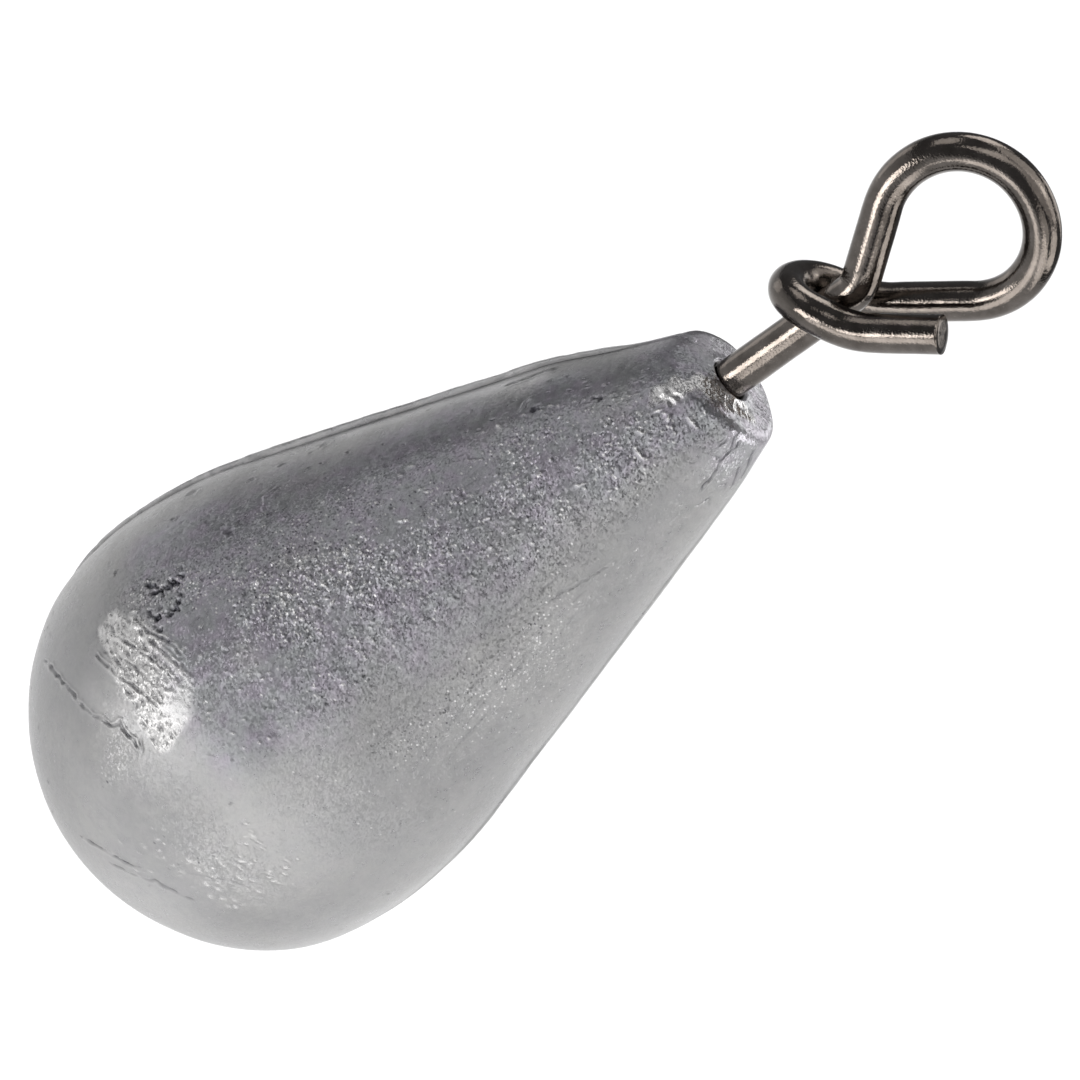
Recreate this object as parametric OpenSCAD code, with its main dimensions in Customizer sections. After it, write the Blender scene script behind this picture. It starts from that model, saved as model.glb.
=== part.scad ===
// Teardrop drop-shot sinker, hanging by its swivelling line-clip eye.
// Z runs up along the shank. The origin is on the shank's axis, level with the middle of the eye.
// The wire is written as a wire former makes it: feeds, rolls and bends, one after the other.

/* [Lead body] */
// Largest diameter of the body
belly_d = 11.5; // [10:0.1:14]
// Length of the body, from its round end to the nose face
body_l = 20.8; // [19:0.1:26]
// Diameter that the taper reaches at the nose face, before its edge is rounded
nose_d = 3.7; // [3.4:0.1:5]
// Radius of the shoulder between the belly and the taper
shoulder_r = 12.3; // [10:0.1:16]
// Radius of the nose's rounded edge
nose_edge_r = 0.4; // [0.2:0.05:0.6]
// Width of the parting ridge that the two mould halves leave
ridge_w = 0.3; // [0.1:0.05:0.6]
// Height of the parting ridge above the surface
ridge_h = 0.07; // [0.03:0.01:0.2]
// Distance from the axis to the edge where the gate was nipped off the nose
gate_reach = 0.85; // [0.8:0.05:1.2]
// Slope of the nipped face against the nose face, in degrees
gate_slope = 32; // [10:1:45]
// Direction that the nipped face looks towards, in degrees from +X
gate_side = 215; // [0:5:355]
// Radial room between the shank and its hole in the nose
mouth_gap = 0.1; // [0.05:0.01:0.15]
// Depth of the flared mouth of the hole
mouth_flare = 0.15; // [0.05:0.05:0.3]

/* [Line eye] */
// Diameter of the wire
wire_d = 1.0; // [0.8:0.05:1.2]
// Length of bare shank from the nose face to the point of its bend
shank_l = 4.1; // [3.6:0.1:8]
// Bend from the shank into the leg, in degrees
neck_bend = 36; // [30:1:42]
// Centre-line radius of the bend into the leg
neck_r = 0.9; // [0.8:0.05:1.2]
// Straight length of the leg
leg_l = 1.88; // [1.6:0.02:3]
// Turn of the wire round the eye, in degrees
eye_turn = 248; // [242:1:256]
// Centre-line radius of the eye
eye_r = 1.98; // [1.8:0.02:2.6]
// Bend that lifts the return strand before it passes behind the shank, in degrees
lift_bend = 27; // [20:1:32]
// Centre-line radius of that lifting bend
lift_r = 3; // [2.6:0.1:3.4]
// Slip of the wrap along the shank, as a roll in degrees
wrap_slip = 4.5; // [0:0.5:8]
// Gap between the wrapped strands and the shank
wrap_gap = 0.04; // [0.03:0.01:0.1]
// Extra room between the outside of the wrap's bend and the shank
wrap_slack = 0.06; // [0.02:0.01:0.2]
// Straight length of the front strand where it crosses the shank
front_l = 0.5; // [0.3:0.05:1]
// Bend from the front strand into the tail, in degrees
tail_bend = 25; // [15:1:35]
// Centre-line radius of the bend into the tail
tail_r = 2.5; // [2:0.1:3.5]
// Straight length of the tail, up to its cut end
tail_l = 1.95; // [1:0.05:3]

/* [Swivel] */
// Outer diameter of the barrel
barrel_d = 2.8; // [2.7:0.05:3.2]
// Length of the barrel
barrel_l = 5.5; // [4.8:0.1:7]
// Wall thickness of the barrel
barrel_wall = 0.4; // [0.3:0.05:0.45]
// Outer radius of the barrel's rolled-in ends
barrel_end_r = 0.8; // [0.6:0.05:1]
// Depth of the barrel's upper end below the nose face
barrel_depth = 2.5; // [1.8:0.1:3.5]
// Radial running gap between a shank and the barrel's end holes
neck_gap = 0.05; // [0.03:0.01:0.1]
// Diameter of the upset head on each wire
head_d = 1.7; // [1.6:0.05:1.75]
// Height of the upset head
head_h = 0.8; // [0.6:0.05:1.2]
// Chamfer round the upset head
head_chamfer = 0.15; // [0.05:0.05:0.25]
// Play between each head and the end of the barrel
head_play = 0.05; // [0.03:0.01:0.1]
// Straight length of the anchor's shank below the barrel
anchor_shank_l = 0.5; // [0.3:0.1:1]
// Bend from the anchor's shank into its loop, in degrees
anchor_bend = 70; // [66:1:72]
// Centre-line radius of the anchor's loop
anchor_r = 1.2; // [1.1:0.05:1.5]
// Turn of the wire round the anchor's loop, in degrees
anchor_turn = 290; // [250:5:295]

/* [Hidden] */
$fn = 64;

// Overrun of every cut past the surface that it cuts.
cut = 1;
// Bent wire is this much thinner in radius than straight wire, and straight wire laps this far into it.
bend_thinning = 0.01;
bend_lap = 0.02;

// Places along the axis, measured from the middle of the eye.
belly_r = belly_d / 2;
nose_r = nose_d / 2;
wire_r = wire_d / 2;
strand_pitch = wire_d + wrap_gap;
neck_tangent = neck_r * tan(neck_bend / 2);
leg_heading = 90 + neck_bend;
leg_end = (neck_tangent + leg_l) * [cos(leg_heading), sin(leg_heading)];

// The eye is bent in two halves, each leaning a little, so that its far strand passes behind the shank.
eye_half = eye_turn / 2;
eye_lean = asin(strand_pitch / (2 * eye_r * (1 - cos(eye_half))));
eye_roll = -2 * atan(tan(eye_lean) * cos(eye_half));
eye_centre = leg_end + eye_r * cos(eye_lean) * [sin(leg_heading), -cos(leg_heading)];
bend_z = -eye_centre[1];
nose_z = bend_z - shank_l;

// Seen from the front, the eye turns by twice this heading and ends this far along its middle heading.
half_heading = atan2(sin(eye_half) * cos(eye_lean), cos(eye_half));
half_seen = norm([cos(eye_half), sin(eye_half) * cos(eye_lean)]);
half_reach = eye_r * sin(eye_half) * (cos(eye_half) + (1 - cos(eye_half)) * cos(eye_lean) ^ 2) / half_seen;
eye_end = leg_end + 2 * half_reach * [cos(leg_heading - half_heading), sin(leg_heading - half_heading)];

// The return strand is as long as it takes to carry the wrap's bend just clear round the shank.
return_heading = leg_heading - 2 * half_heading;
wrap_heading = return_heading - lift_bend;
wrap_r = strand_pitch / cos(wrap_slip);
wrap_x = -strand_pitch - wrap_slack - wrap_r * cos(wrap_heading);
lift_x = lift_r * (sin(return_heading) - sin(wrap_heading));
return_l = (wrap_x - lift_x - eye_end[0]) / cos(return_heading);

// The body's outline: the round end, the shoulder and a straight taper that is tangent to it.
shoulder_x = belly_r - shoulder_r;
belly_z = nose_z - body_l + belly_r;
taper_l = nose_z - belly_z;
taper_angle = atan2(taper_l, nose_r - shoulder_x) - acos(shoulder_r / norm([nose_r - shoulder_x, taper_l]));
taper_start = [shoulder_x + shoulder_r * cos(taper_angle), shoulder_r * sin(taper_angle)];
edge_x = nose_r + nose_edge_r * tan(taper_angle) - nose_edge_r / cos(taper_angle);

// The swivel, from the top down.
barrel_top = nose_z - barrel_depth;
barrel_bottom = barrel_top - barrel_l;
upper_shoulder = barrel_top - barrel_wall - head_play;
lower_shoulder = barrel_bottom + barrel_wall + head_play;
anchor_bend_r = anchor_r * cos(anchor_bend) / (1 - cos(anchor_bend));

// A straight run of wire, lapped into the bends at both its ends, then whatever follows it.
module feed(length = 0) {
    translate([0, 0, -bend_lap]) cylinder(r = wire_r, h = length + 2 * bend_lap);
    translate([0, 0, length]) children();
}

// A bend of the wire towards its own +X, then whatever follows it.
module bend(angle, radius) {
    translate([radius, 0, 0]) rotate([90, 0, 0]) rotate([0, 0, 180 - angle])
        rotate_extrude(angle = angle) translate([radius, 0]) circle(r = wire_r - bend_thinning);
    translate([radius, 0, 0]) rotate([0, angle, 0]) translate([-radius, 0, 0]) children();
}

// A turn of the wire in the former's jaws before its next bend.
module roll(angle) {
    rotate([0, 0, angle]) children();
}

// The upset head of a wire, with its shoulder at the start of the shank.
module upset_head() {
    head_r = head_d / 2;
    inner_r = head_r - head_chamfer;
    translate([0, 0, -head_chamfer]) cylinder(r1 = head_r, r2 = inner_r, h = head_chamfer);
    translate([0, 0, head_chamfer - head_h]) cylinder(r = head_r, h = head_h - 2 * head_chamfer);
    translate([0, 0, -head_h]) cylinder(r1 = inner_r, r2 = head_r, h = head_chamfer);
}

// Half of the body's outline, right of the axis, grown outwards by a given height.
module body_outline(grow) {
    top = belly_z + taper_start[1];
    edge = [edge_x + grow / cos(taper_angle), nose_z - nose_edge_r];
    edge_side = edge + nose_edge_r * [cos(taper_angle), sin(taper_angle)];
    edge_corner = [edge[0] + 2 * nose_edge_r, edge_side[1]];
    start = [shoulder_x + (shoulder_r + grow) * cos(taper_angle),
             belly_z + (shoulder_r + grow) * sin(taper_angle)];
    intersection() {
        translate([0, belly_z]) circle(r = belly_r + grow, $fn = 128);
        translate([0, belly_z - belly_r - cut]) square([belly_r + cut, belly_r + cut]);
    }
    intersection() {
        translate([shoulder_x, belly_z]) circle(r = shoulder_r + grow, $fn = 256);
        translate([0, belly_z]) square([belly_r + cut, start[1] - belly_z]);
    }
    polygon([[0, start[1]], start, edge_side, edge, [edge[0], nose_z], [0, nose_z]]);
    intersection() {
        translate(edge) circle(r = nose_edge_r);
        polygon([edge, edge_side, edge_corner, [edge_corner[0], nose_z + cut], [edge[0], nose_z + cut]]);
    }
}

// The barrel's outside, or with an inset its hollow.
module barrel_form(inset) {
    form_r = barrel_d / 2 - inset;
    end_r = barrel_end_r - inset;
    bottom = barrel_bottom + inset;
    top = barrel_top - inset;
    rotate_extrude() {
        translate([0, bottom]) square([form_r - end_r, top - bottom]);
        translate([0, bottom + end_r]) square([form_r, top - bottom - 2 * end_r]);
        for (z = [bottom + end_r, top - end_r]) intersection() {
            translate([form_r - end_r, z]) circle(r = end_r);
            translate([0, bottom]) square([form_r, top - bottom]);
        }
    }
}

// The anchor's wire, from its head down through the barrel's lower end to its loop.
module anchor_wire() {
    translate([0, 0, lower_shoulder]) rotate([180, 0, 0]) {
        upset_head();
        feed(head_play + barrel_wall + anchor_shank_l)
            bend(anchor_bend, anchor_bend_r) feed()
            roll(180) bend(anchor_turn, anchor_r);
    }
}

// The cast lead teardrop with its parting ridge, nipped nose and the room that the swivel fills.
module lead_body() {
    hole_r = wire_r + mouth_gap;
    color([0.56, 0.57, 0.59]) difference() {
        union() {
            rotate_extrude($fn = 128) body_outline(0);
            for (side = [0, 180]) rotate([90, 0, side])
                translate([0, 0, -ridge_w / 2]) linear_extrude(ridge_w) body_outline(ridge_h);
        }
        translate([0, 0, barrel_top - cut]) cylinder(r = hole_r, h = barrel_depth + 2 * cut);
        translate([0, 0, nose_z - mouth_flare])
            cylinder(r1 = hole_r, r2 = hole_r + mouth_flare + cut, h = mouth_flare + cut);
        rotate([0, 0, gate_side]) translate([gate_reach, 0, nose_z]) rotate([0, gate_slope, 0])
            translate([-nose_d, -nose_d, 0]) cube(2 * nose_d);
        barrel_form(0);
        anchor_wire();
    }
}

// The line eye: one wire from its head in the barrel to the cut end of its tail.
module wire_eye() {
    color([0.2, 0.19, 0.18]) translate([0, 0, upper_shoulder]) {
        upset_head();
        feed(bend_z - upper_shoulder - neck_tangent)
            roll(180) bend(neck_bend, neck_r)
            roll(180) feed(leg_l)
            roll(eye_lean) bend(eye_half, eye_r) feed()
            roll(eye_roll) bend(eye_half, eye_r)
            roll(eye_lean) feed(return_l)
            bend(lift_bend, lift_r) feed()
            roll(-90 - wrap_slip) bend(180, wrap_r)
            roll(90 - wrap_slip) feed(front_l)
            bend(tail_bend, tail_r)
            feed(tail_l);
    }
}

// The swivel's brass barrel, rolled in at both ends round the two wires.
module swivel_barrel() {
    color([0.78, 0.62, 0.32]) difference() {
        barrel_form(0);
        barrel_form(barrel_wall);
        translate([0, 0, barrel_bottom - cut]) cylinder(r = wire_r + neck_gap, h = barrel_l + 2 * cut);
    }
}

// The swivel's lower wire, cast into the lead.
module anchor_eye() {
    color([0.6, 0.58, 0.52]) anchor_wire();
}

lead_body();
wire_eye();
swivel_barrel();
anchor_eye();
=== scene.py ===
"""The looks of a teardrop drop-shot sinker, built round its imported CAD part.

Sizes are in millimetres until a mesh or an object is made. The frame is the CAD's: Z runs up the shank, the origin is
level with the middle of the line eye, and the camera looks from -Y, a little from above.
"""

import math

import bpy
import numpy as np
from mathutils import Matrix, Vector


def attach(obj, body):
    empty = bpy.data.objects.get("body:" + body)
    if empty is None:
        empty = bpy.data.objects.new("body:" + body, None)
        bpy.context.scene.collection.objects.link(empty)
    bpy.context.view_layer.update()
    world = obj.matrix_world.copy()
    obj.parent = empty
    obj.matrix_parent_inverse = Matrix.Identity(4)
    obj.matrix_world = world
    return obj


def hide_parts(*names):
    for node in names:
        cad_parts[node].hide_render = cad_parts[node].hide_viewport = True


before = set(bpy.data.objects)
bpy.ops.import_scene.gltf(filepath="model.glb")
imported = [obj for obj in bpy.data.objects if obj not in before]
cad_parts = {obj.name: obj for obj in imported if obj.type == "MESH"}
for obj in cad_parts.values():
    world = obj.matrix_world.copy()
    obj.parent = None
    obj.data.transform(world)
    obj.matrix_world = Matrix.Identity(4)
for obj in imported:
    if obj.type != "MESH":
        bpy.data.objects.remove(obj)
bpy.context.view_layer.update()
MM = 0.001

# ---------------------------------------------------------------- camera
ELEVATION = math.radians(22.0)
ROLL = math.radians(54.5)
AIM = Vector((0.493, 0.0, -13.55)) * MM
CAMERA_DISTANCE = 1.2
VIEW_WIDTH = 26.34 * MM
SENSOR = 36.0

BACK = Vector((0.0, -math.cos(ELEVATION), math.sin(ELEVATION)))
LEVEL_UP = Vector((0.0, math.sin(ELEVATION), math.cos(ELEVATION)))
LEVEL_RIGHT = Vector((1.0, 0.0, 0.0))
RIGHT = LEVEL_RIGHT * math.cos(ROLL) + LEVEL_UP * math.sin(ROLL)
UP = LEVEL_UP * math.cos(ROLL) - LEVEL_RIGHT * math.sin(ROLL)


def facing(place, right, up, back):
    """The matrix of an object at a place, with the given axes."""
    turn = Matrix((right, up, back)).transposed().to_4x4()
    return Matrix.Translation(place) @ turn


lens = bpy.data.cameras.new("Camera")
lens.sensor_width = SENSOR
lens.lens = SENSOR * CAMERA_DISTANCE / VIEW_WIDTH
lens.clip_start = 0.01
lens.clip_end = 20.0
camera = bpy.data.objects.new("Camera", lens)
bpy.context.scene.collection.objects.link(camera)
camera.matrix_world = facing(AIM + BACK * CAMERA_DISTANCE, RIGHT, UP, BACK)
bpy.context.scene.camera = camera


# ---------------------------------------------------------------- noise
def hashed(i, j, k, seed):
    """A repeatable number from 0 to 1 for each lattice point."""
    h = (i * 73856093 ^ j * 19349663 ^ k * 83492791 ^ seed * 40503) & 0xFFFFFFFF
    h = ((h ^ (h >> 15)) * 2246822519) & 0xFFFFFFFF
    h = ((h ^ (h >> 13)) * 3266489917) & 0xFFFFFFFF
    return (h ^ (h >> 16)) / 4294967296.0


def noise(p, size, seed=0):
    """Smooth noise from -1 to 1, with lumps of about the given size."""
    q = p / size
    low = np.floor(q).astype(np.int64)
    f = q - low
    f = f * f * f * (f * (f * 6 - 15) + 10)
    total = np.zeros(len(p))
    for corner in range(8):
        d = (corner & 1, corner >> 1 & 1, corner >> 2)
        weight = np.ones(len(p))
        for axis in range(3):
            weight *= f[:, axis] if d[axis] else 1 - f[:, axis]
        total += weight * hashed(low[:, 0] + d[0], low[:, 1] + d[1], low[:, 2] + d[2], seed)
    return 2 * total - 1


def layered(p, size, layers, seed=0, fall=0.5):
    """Several sizes of noise, each half as large as the last."""
    total, share = 0, 1.0
    for n in range(layers):
        total = total + share * noise(p, size / 2**n, seed + 17 * n)
        share *= fall
    return total


def step(low, high, x):
    """0 below low, 1 above high, and smooth between."""
    t = np.clip((x - low) / (high - low), 0, 1)
    return t * t * (3 - 2 * t)


# ---------------------------------------------------------------- the cast body
# The first sizes are the CAD's, up to the barrel's. Then come the ridge, the gate, the drawn-in nose and the mesh.
BELLY_R = 5.75
BELLY_Z = -22.0547
SHOULDER_R = 12.3
TAPER = math.radians(16.3645)
NOSE_Z = -7.00472
EDGE_X = 1.55057
EDGE_R = 0.4
MOUTH_R = 0.56
MOUTH_FLARE = 0.06
BARREL_TOP = -9.50472
BARREL_BOTTOM = -15.0047
BARREL_R = 1.4
BARREL_END_R = 0.8
RIDGE_W = 0.3
RIDGE_H = 0.07
RIDGE_REACH = 5.815
FLASH_H = 0.05
GATE_REACH = 0.85
GATE_SLOPE = math.radians(32)
GATE_SIDE = math.radians(215)
GATE_ROUNDING = 0.16
DRAW_LEFT = 0.16
DRAW_RIGHT = 0.05
COLUMNS = 720
CROWDING = 0.35
CROWDED_SIDE = math.radians(250)

# The relief of the skin, in millimetres, and the sides of the body on which it changes.
SINK = 0.04
UNDERSIDE_SWELL = 0.1
SIDE_SWELL = 0.045
GRAIN_H = 0.012
HOLE_DEPTH = 0.01
RIPPLE_H = 0.022
CRUMPLE_H = 0.05
CREASE_DEPTH = 0.04
FINE_FOLDS = 0.12
RIM_FOLDS = 0.2
WAIST_Z = -15
BAND_SIDE = math.radians(243)
COARSE_DEG = 249
COARSE_TURN_DEG = 12
LOWER_SIDE = math.radians(300)


def arc(cx, cz, radius, start, end, count, inward=False):
    """Rows of (radius, height, normal's radius part, normal's height part) along an arc."""
    a = np.radians(np.linspace(start, end, count, endpoint=False))
    sign = -1 if inward else 1
    return np.stack([cx + radius * np.cos(a), cz + radius * np.sin(a), sign * np.cos(a), sign * np.sin(a)], 1)


def line(x0, z0, x1, z1, count):
    """The same rows along a straight line, whose normal lies to the right of its way."""
    t = np.linspace(0, 1, count, endpoint=False)
    run = math.hypot(x1 - x0, z1 - z0)
    nx, nz = (z1 - z0) / run, -(x1 - x0) / run
    return np.stack([x0 + (x1 - x0) * t, z0 + (z1 - z0) * t, np.full(count, nx), np.full(count, nz)], 1)


def lead_rows():
    """All rows of the body, from its lower pole over the skin and down the hole, and how many of them are skin."""
    taper_deg = math.degrees(TAPER)
    shoulder_x = BELLY_R - SHOULDER_R
    sx = shoulder_x + SHOULDER_R * math.cos(TAPER)
    sz = BELLY_Z + SHOULDER_R * math.sin(TAPER)
    ex = EDGE_X + EDGE_R * math.cos(TAPER)
    ez = NOSE_Z - EDGE_R + EDGE_R * math.sin(TAPER)
    flare_r = MOUTH_R + MOUTH_FLARE
    outer = [
        arc(0, BELLY_Z, BELLY_R, -90, 0, 260)[1:],
        arc(shoulder_x, BELLY_Z, SHOULDER_R, 0, taper_deg, 80),
        line(sx, sz, ex, ez, 270),
        arc(EDGE_X, NOSE_Z - EDGE_R, EDGE_R, taper_deg, 90, 16),
        line(EDGE_X, NOSE_Z, flare_r, NOSE_Z, 26),
        line(flare_r, NOSE_Z, MOUTH_R, NOSE_Z - MOUTH_FLARE, 4),
    ]
    inner = [
        line(MOUTH_R, NOSE_Z - MOUTH_FLARE, MOUTH_R, BARREL_TOP, 14),
        arc(MOUTH_R, BARREL_TOP - BARREL_END_R, BARREL_END_R, 90, 0, 10, True),
        line(BARREL_R, BARREL_TOP - BARREL_END_R, BARREL_R, BARREL_BOTTOM + BARREL_END_R, 12),
        arc(MOUTH_R, BARREL_BOTTOM + BARREL_END_R, BARREL_END_R, 0, -90, 10, True),
        line(MOUTH_R, BARREL_BOTTOM, 0, BARREL_BOTTOM, 6),
    ]
    outer, inner = np.concatenate(outer), np.concatenate(inner)
    return np.concatenate([outer, inner]), len(outer)


def on_body(height, degrees):
    """The point of the plain outline at a height and an angle round the axis."""
    if height <= BELLY_Z:
        r = math.sqrt(max(BELLY_R**2 - (height - BELLY_Z) ** 2, 0))
    elif height <= BELLY_Z + SHOULDER_R * math.sin(TAPER):
        r = BELLY_R - SHOULDER_R + math.sqrt(SHOULDER_R**2 - (height - BELLY_Z) ** 2)
    else:
        r = EDGE_X + EDGE_R / math.cos(TAPER) + (NOSE_Z - EDGE_R - height) * math.tan(TAPER)
    a = math.radians(degrees)
    return np.array([r * math.cos(a), r * math.sin(a), height])


def way(points):
    """The places of a crack, as points on the body, from (height, degrees) pairs."""
    return np.array([on_body(z, a) for z, a in points])


def near(p, places, reach):
    """The points in the box round the places, to keep the slow work to them. The points come in rings that rise."""
    low, high = places.min(0) - reach, places.max(0) + reach
    first, last = np.searchsorted(np.maximum.accumulate(p[:, 2]), (low[2], high[2]))
    part = p[first:last]
    return first + np.nonzero(((part > low) & (part < high)).all(1))[0]


def to_line(p, places):
    """The distance from each point to a polyline, and how far along the line its nearest place is."""
    best, along, run = np.full(len(p), 9e9), np.zeros(len(p)), 0.0
    for a, b in zip(places[:-1], places[1:]):
        d = b - a
        length = np.linalg.norm(d)
        t = np.clip((p - a) @ d / length**2, 0, 1)
        dist = np.linalg.norm(p - a - t[:, None] * d, axis=1)
        nearer = dist < best
        best[nearer] = dist[nearer]
        along[nearer] = run + t[nearer] * length
        run += length
    return best, along, run


# Cold shuts, where two flows of lead met: (places, width, depth, height of the lip). The first goes round the belly,
# the next seven fold the patch of wrinkled skin, and the rest are single seams, scratches and the net on the nose.
# Where the depth is negative, the line stands proud.
CRACKS = [
    ([(-24.77, 215.5), (-24.56, 221), (-24.36, 227.1), (-24.28, 230.5), (-24.11, 234.8), (-23.95, 239.3),
      (-23.82, 243.6), (-23.65, 246.7), (-23.45, 250.2), (-23.15, 250.9), (-23.19, 254), (-23.11, 256.9),
      (-23.05, 260)], 0.036, 0.05, 0.03),
    ([(-23.08, 230.6), (-22.75, 237.4), (-22.46, 243.9), (-22.21, 249.6), (-21.96, 255)], 0.035, 0.05, 0.03),
    ([(-21.84, 229.1), (-21.46, 237.9), (-21.18, 245.1), (-20.93, 254.2)], 0.035, 0.045, 0.04),
    ([(-21.62, 231.3), (-21.4, 236.5), (-21.1, 240.3), (-20.92, 243.8), (-20.88, 246.4)], 0.035, 0.04, 0.04),
    ([(-22.36, 229.3), (-21.9, 237.1), (-21.52, 244.7), (-21.32, 250.7)], 0.03, 0.035, 0.03),
    ([(-22.36, 236.4), (-22.05, 243.6), (-21.9, 248.1)], 0.03, 0.03, 0.02),
    ([(-22.75, 232), (-22.5, 238), (-22.3, 243)], 0.03, 0.03, 0.02),
    ([(-22.85, 256.5), (-23.0, 260), (-23.3, 262.5)], 0.035, 0.02, 0.015),
    ([(-25.0, 264), (-24.83, 268.1), (-24.77, 272.2), (-24.87, 275.1)], 0.035, -0.012, -0.006),
    ([(-24.22, 292.5), (-23.88, 296.3), (-23.5, 300.8), (-23.26, 304.7)], 0.035, 0.015, 0.008),
    ([(-17.35, 208), (-17.53, 209.1), (-17.74, 211), (-17.82, 215.3), (-17.83, 217.6)], 0.04, -0.03, -0.015),
    ([(-17.54, 197.1), (-17.37, 196), (-17.16, 196.5)], 0.05, -0.03, -0.02),
    ([(-11.23, 220.6), (-11.06, 215.6), (-10.82, 212.5)], 0.05, -0.035, -0.02),
    ([(-11.71, 195.6), (-10.69, 194.2), (-10.17, 193.9)], 0.06, 0.03, 0.02),
    ([(-17.4, 226.2), (-17.43, 234.2), (-17.42, 236.8)], 0.035, 0.02, 0.012),
    ([(-12.66, 302.2), (-11.15, 311.5)], 0.035, 0.015, 0.008),
    ([(-14.2, 296), (-12.9, 301)], 0.035, 0.012, 0.006),
    ([(-26.31, 267), (-25.91, 274.3), (-25.5, 282.2), (-25.14, 286.9)], 0.035, 0.035, 0.02),
    ([(-26.0, 280), (-25.1, 292), (-24.6, 302)], 0.035, 0.025, 0.015),
    ([(-7.19, 299.7), (-7.1, 304.5), (-7.2, 311.9), (-7.59, 316.7)], 0.04, 0.035, 0.02),
    ([(-7.22, 319.9), (-7.51, 319.3), (-8.0, 316)], 0.04, 0.035, 0.02),
    ([(-7.22, 299.7), (-7.43, 306.6), (-7.8, 306)], 0.035, 0.025, 0.015),
    ([(-7.94, 307.8), (-7.85, 314.7), (-8.1, 318.8), (-8.9, 320)], 0.04, 0.03, 0.02),
    ([(-7.79, 335.4), (-8.15, 343.1), (-8.52, 345)], 0.04, 0.03, 0.02),
    ([(-7.29, 340.2), (-7.84, 348), (-8.23, 352)], 0.04, 0.03, 0.02),
    ([(-8.5, 328), (-8.3, 335), (-8.6, 341)], 0.035, 0.02, 0.015),
    ([(-9.2, 325), (-8.8, 331), (-9.1, 338)], 0.035, 0.02, 0.012),
]

# Small gas pits with a raised rim: (height, degrees, radius, depth).
PITS = [
    (-18.71, 219.3, 0.1, 0.045), (-19.79, 192.8, 0.14, 0.02), (-18.08, 199.6, 0.08, 0.02),
    (-16.29, 191.8, 0.12, 0.025), (-19.11, 208, 0.05, 0.02), (-16.63, 195.2, 0.06, 0.015),
    (-21.06, 222.4, 0.07, 0.06), (-21.43, 221.4, 0.05, 0.04), (-21.04, 240.8, 0.05, 0.05),
    (-13.6, 192.8, 0.06, 0.015), (-15.6, 204.0, 0.05, 0.03), (-20.2, 203.0, 0.05, 0.03),
]

# More of them at random: (count, heights, degrees, radii, depths).
PIT_FIELDS = [
    (130, (-22, -7.8), (203, 285), (0.025, 0.05), (0.012, 0.035)),
    (170, (-27, -8), (0, 360), (0.03, 0.05), (0.008, 0.02)),
]

# Ragged hollows, where gas kept the lead off the mould: (height, degrees, reach, depth).
HOLLOWS = [
    (-20.5, 227.2, 0.36, 0.14), (-20.9, 227.6, 0.2, 0.09), (-20.78, 234.6, 0.24, 0.12), (-21.12, 230.8, 0.22, 0.08),
    (-20.46, 232.0, 0.16, 0.07), (-20.15, 225.0, 0.16, 0.06), (-20.7, 229.6, 0.26, 0.1), (-21.1, 234.0, 0.2, 0.08),
    (-20.95, 223.5, 0.14, 0.06), (-10.9, 221.5, 0.12, 0.04), (-11.9, 217.0, 0.1, 0.04), (-9.4, 232, 0.14, 0.05),
]

# Flecks, where grains stand a little proud, painted pale as highlights: (height, degrees, length, turn in degrees,
# height).
FLECKS = [
    (-17.29, 245.3, 0.3, 62, 0.05), (-17.03, 249.5, 0.24, 70, 0.045), (-16.49, 254, 0.26, 85, 0.045),
    (-18.06, 248, 0.24, 85, 0.045), (-17.04, 255.2, 0.24, -20, 0.04), (-17.3, 239, 0.1, 0, 0.035),
    (-18.1, 228.4, 0.1, 40, 0.035), (-14.76, 242.8, 0.12, 30, 0.035), (-8.16, 259, 0.22, 10, 0.05),
    (-8.07, 266.9, 0.2, -40, 0.045), (-7.68, 279, 0.36, 88, 0.05), (-9.12, 275, 0.4, 85, 0.05),
    (-8.99, 257.7, 0.12, 30, 0.04), (-8.8, 264.3, 0.2, 60, 0.045), (-21.59, 228, 0.24, 20, 0.06),
    (-9.6, 259.8, 0.14, 20, 0.04), (-10.47, 261.6, 0.12, 45, 0.035), (-11.8, 223.4, 0.22, 80, 0.035),
    (-12.45, 235.2, 0.1, 30, 0.035), (-10.21, 280.3, 0.1, 0, 0.03), (-10.83, 314.4, 0.1, 60, 0.025),
    (-11.35, 280.9, 0.1, 20, 0.03), (-13.4, 247, 0.12, 50, 0.035), (-15.2, 251, 0.12, 10, 0.035),
    (-12.9, 259, 0.1, 30, 0.03), (-14.1, 262, 0.1, 70, 0.03), (-17.85, 217.8, 0.08, 0, 0.04),
]

# More of them at random: (count, heights, degrees, lengths, turns, rises). The band's come first, then the belly's
# and, on the lower side of the taper, long scratches, which also go below the skin.
FLECK_FIELDS = [
    (330, (-21, -8), (222, 278), (0.06, 0.13), (20, 110), (0.015, 0.035)),
    (40, (-18.6, -16), (238, 258), (0.08, 0.2), (50, 110), (0.02, 0.04)),
    (24, (-25.6, -23.8), (276, 292), (0.1, 0.26), (45, 75), (0.01, 0.028)),
    (90, (-24.4, -21.6), (290, 310), (0.08, 0.24), (40, 90), (0.01, 0.03)),
    (90, (-18.4, -12.5), (290, 318), (0.3, 1.1), (-8, 8), (-0.011, 0.01)),
]
FLECK_HALF_WIDTH = 0.036
MARKS_SEED = 7

# The wrinkled patch: a line down its middle and its half widths there. Its folds run the same way, and are smoothed
# where the round spot of painted highlight lies.
PATCH = [(-22.3, 228.5), (-22.05, 236), (-21.95, 244), (-21.9, 250), (-22.0, 255.5), (-22.4, 259.8)]
PATCH_HALF = (0.5, 0.75, 0.85, 0.85, 0.72, 0.42)
HIGHLIGHT_SPOT_PLACE = (-21.6, 256.5)
HIGHLIGHT_SPOT_REACH = 0.45
FAR_AWAY = 9.0

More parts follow.
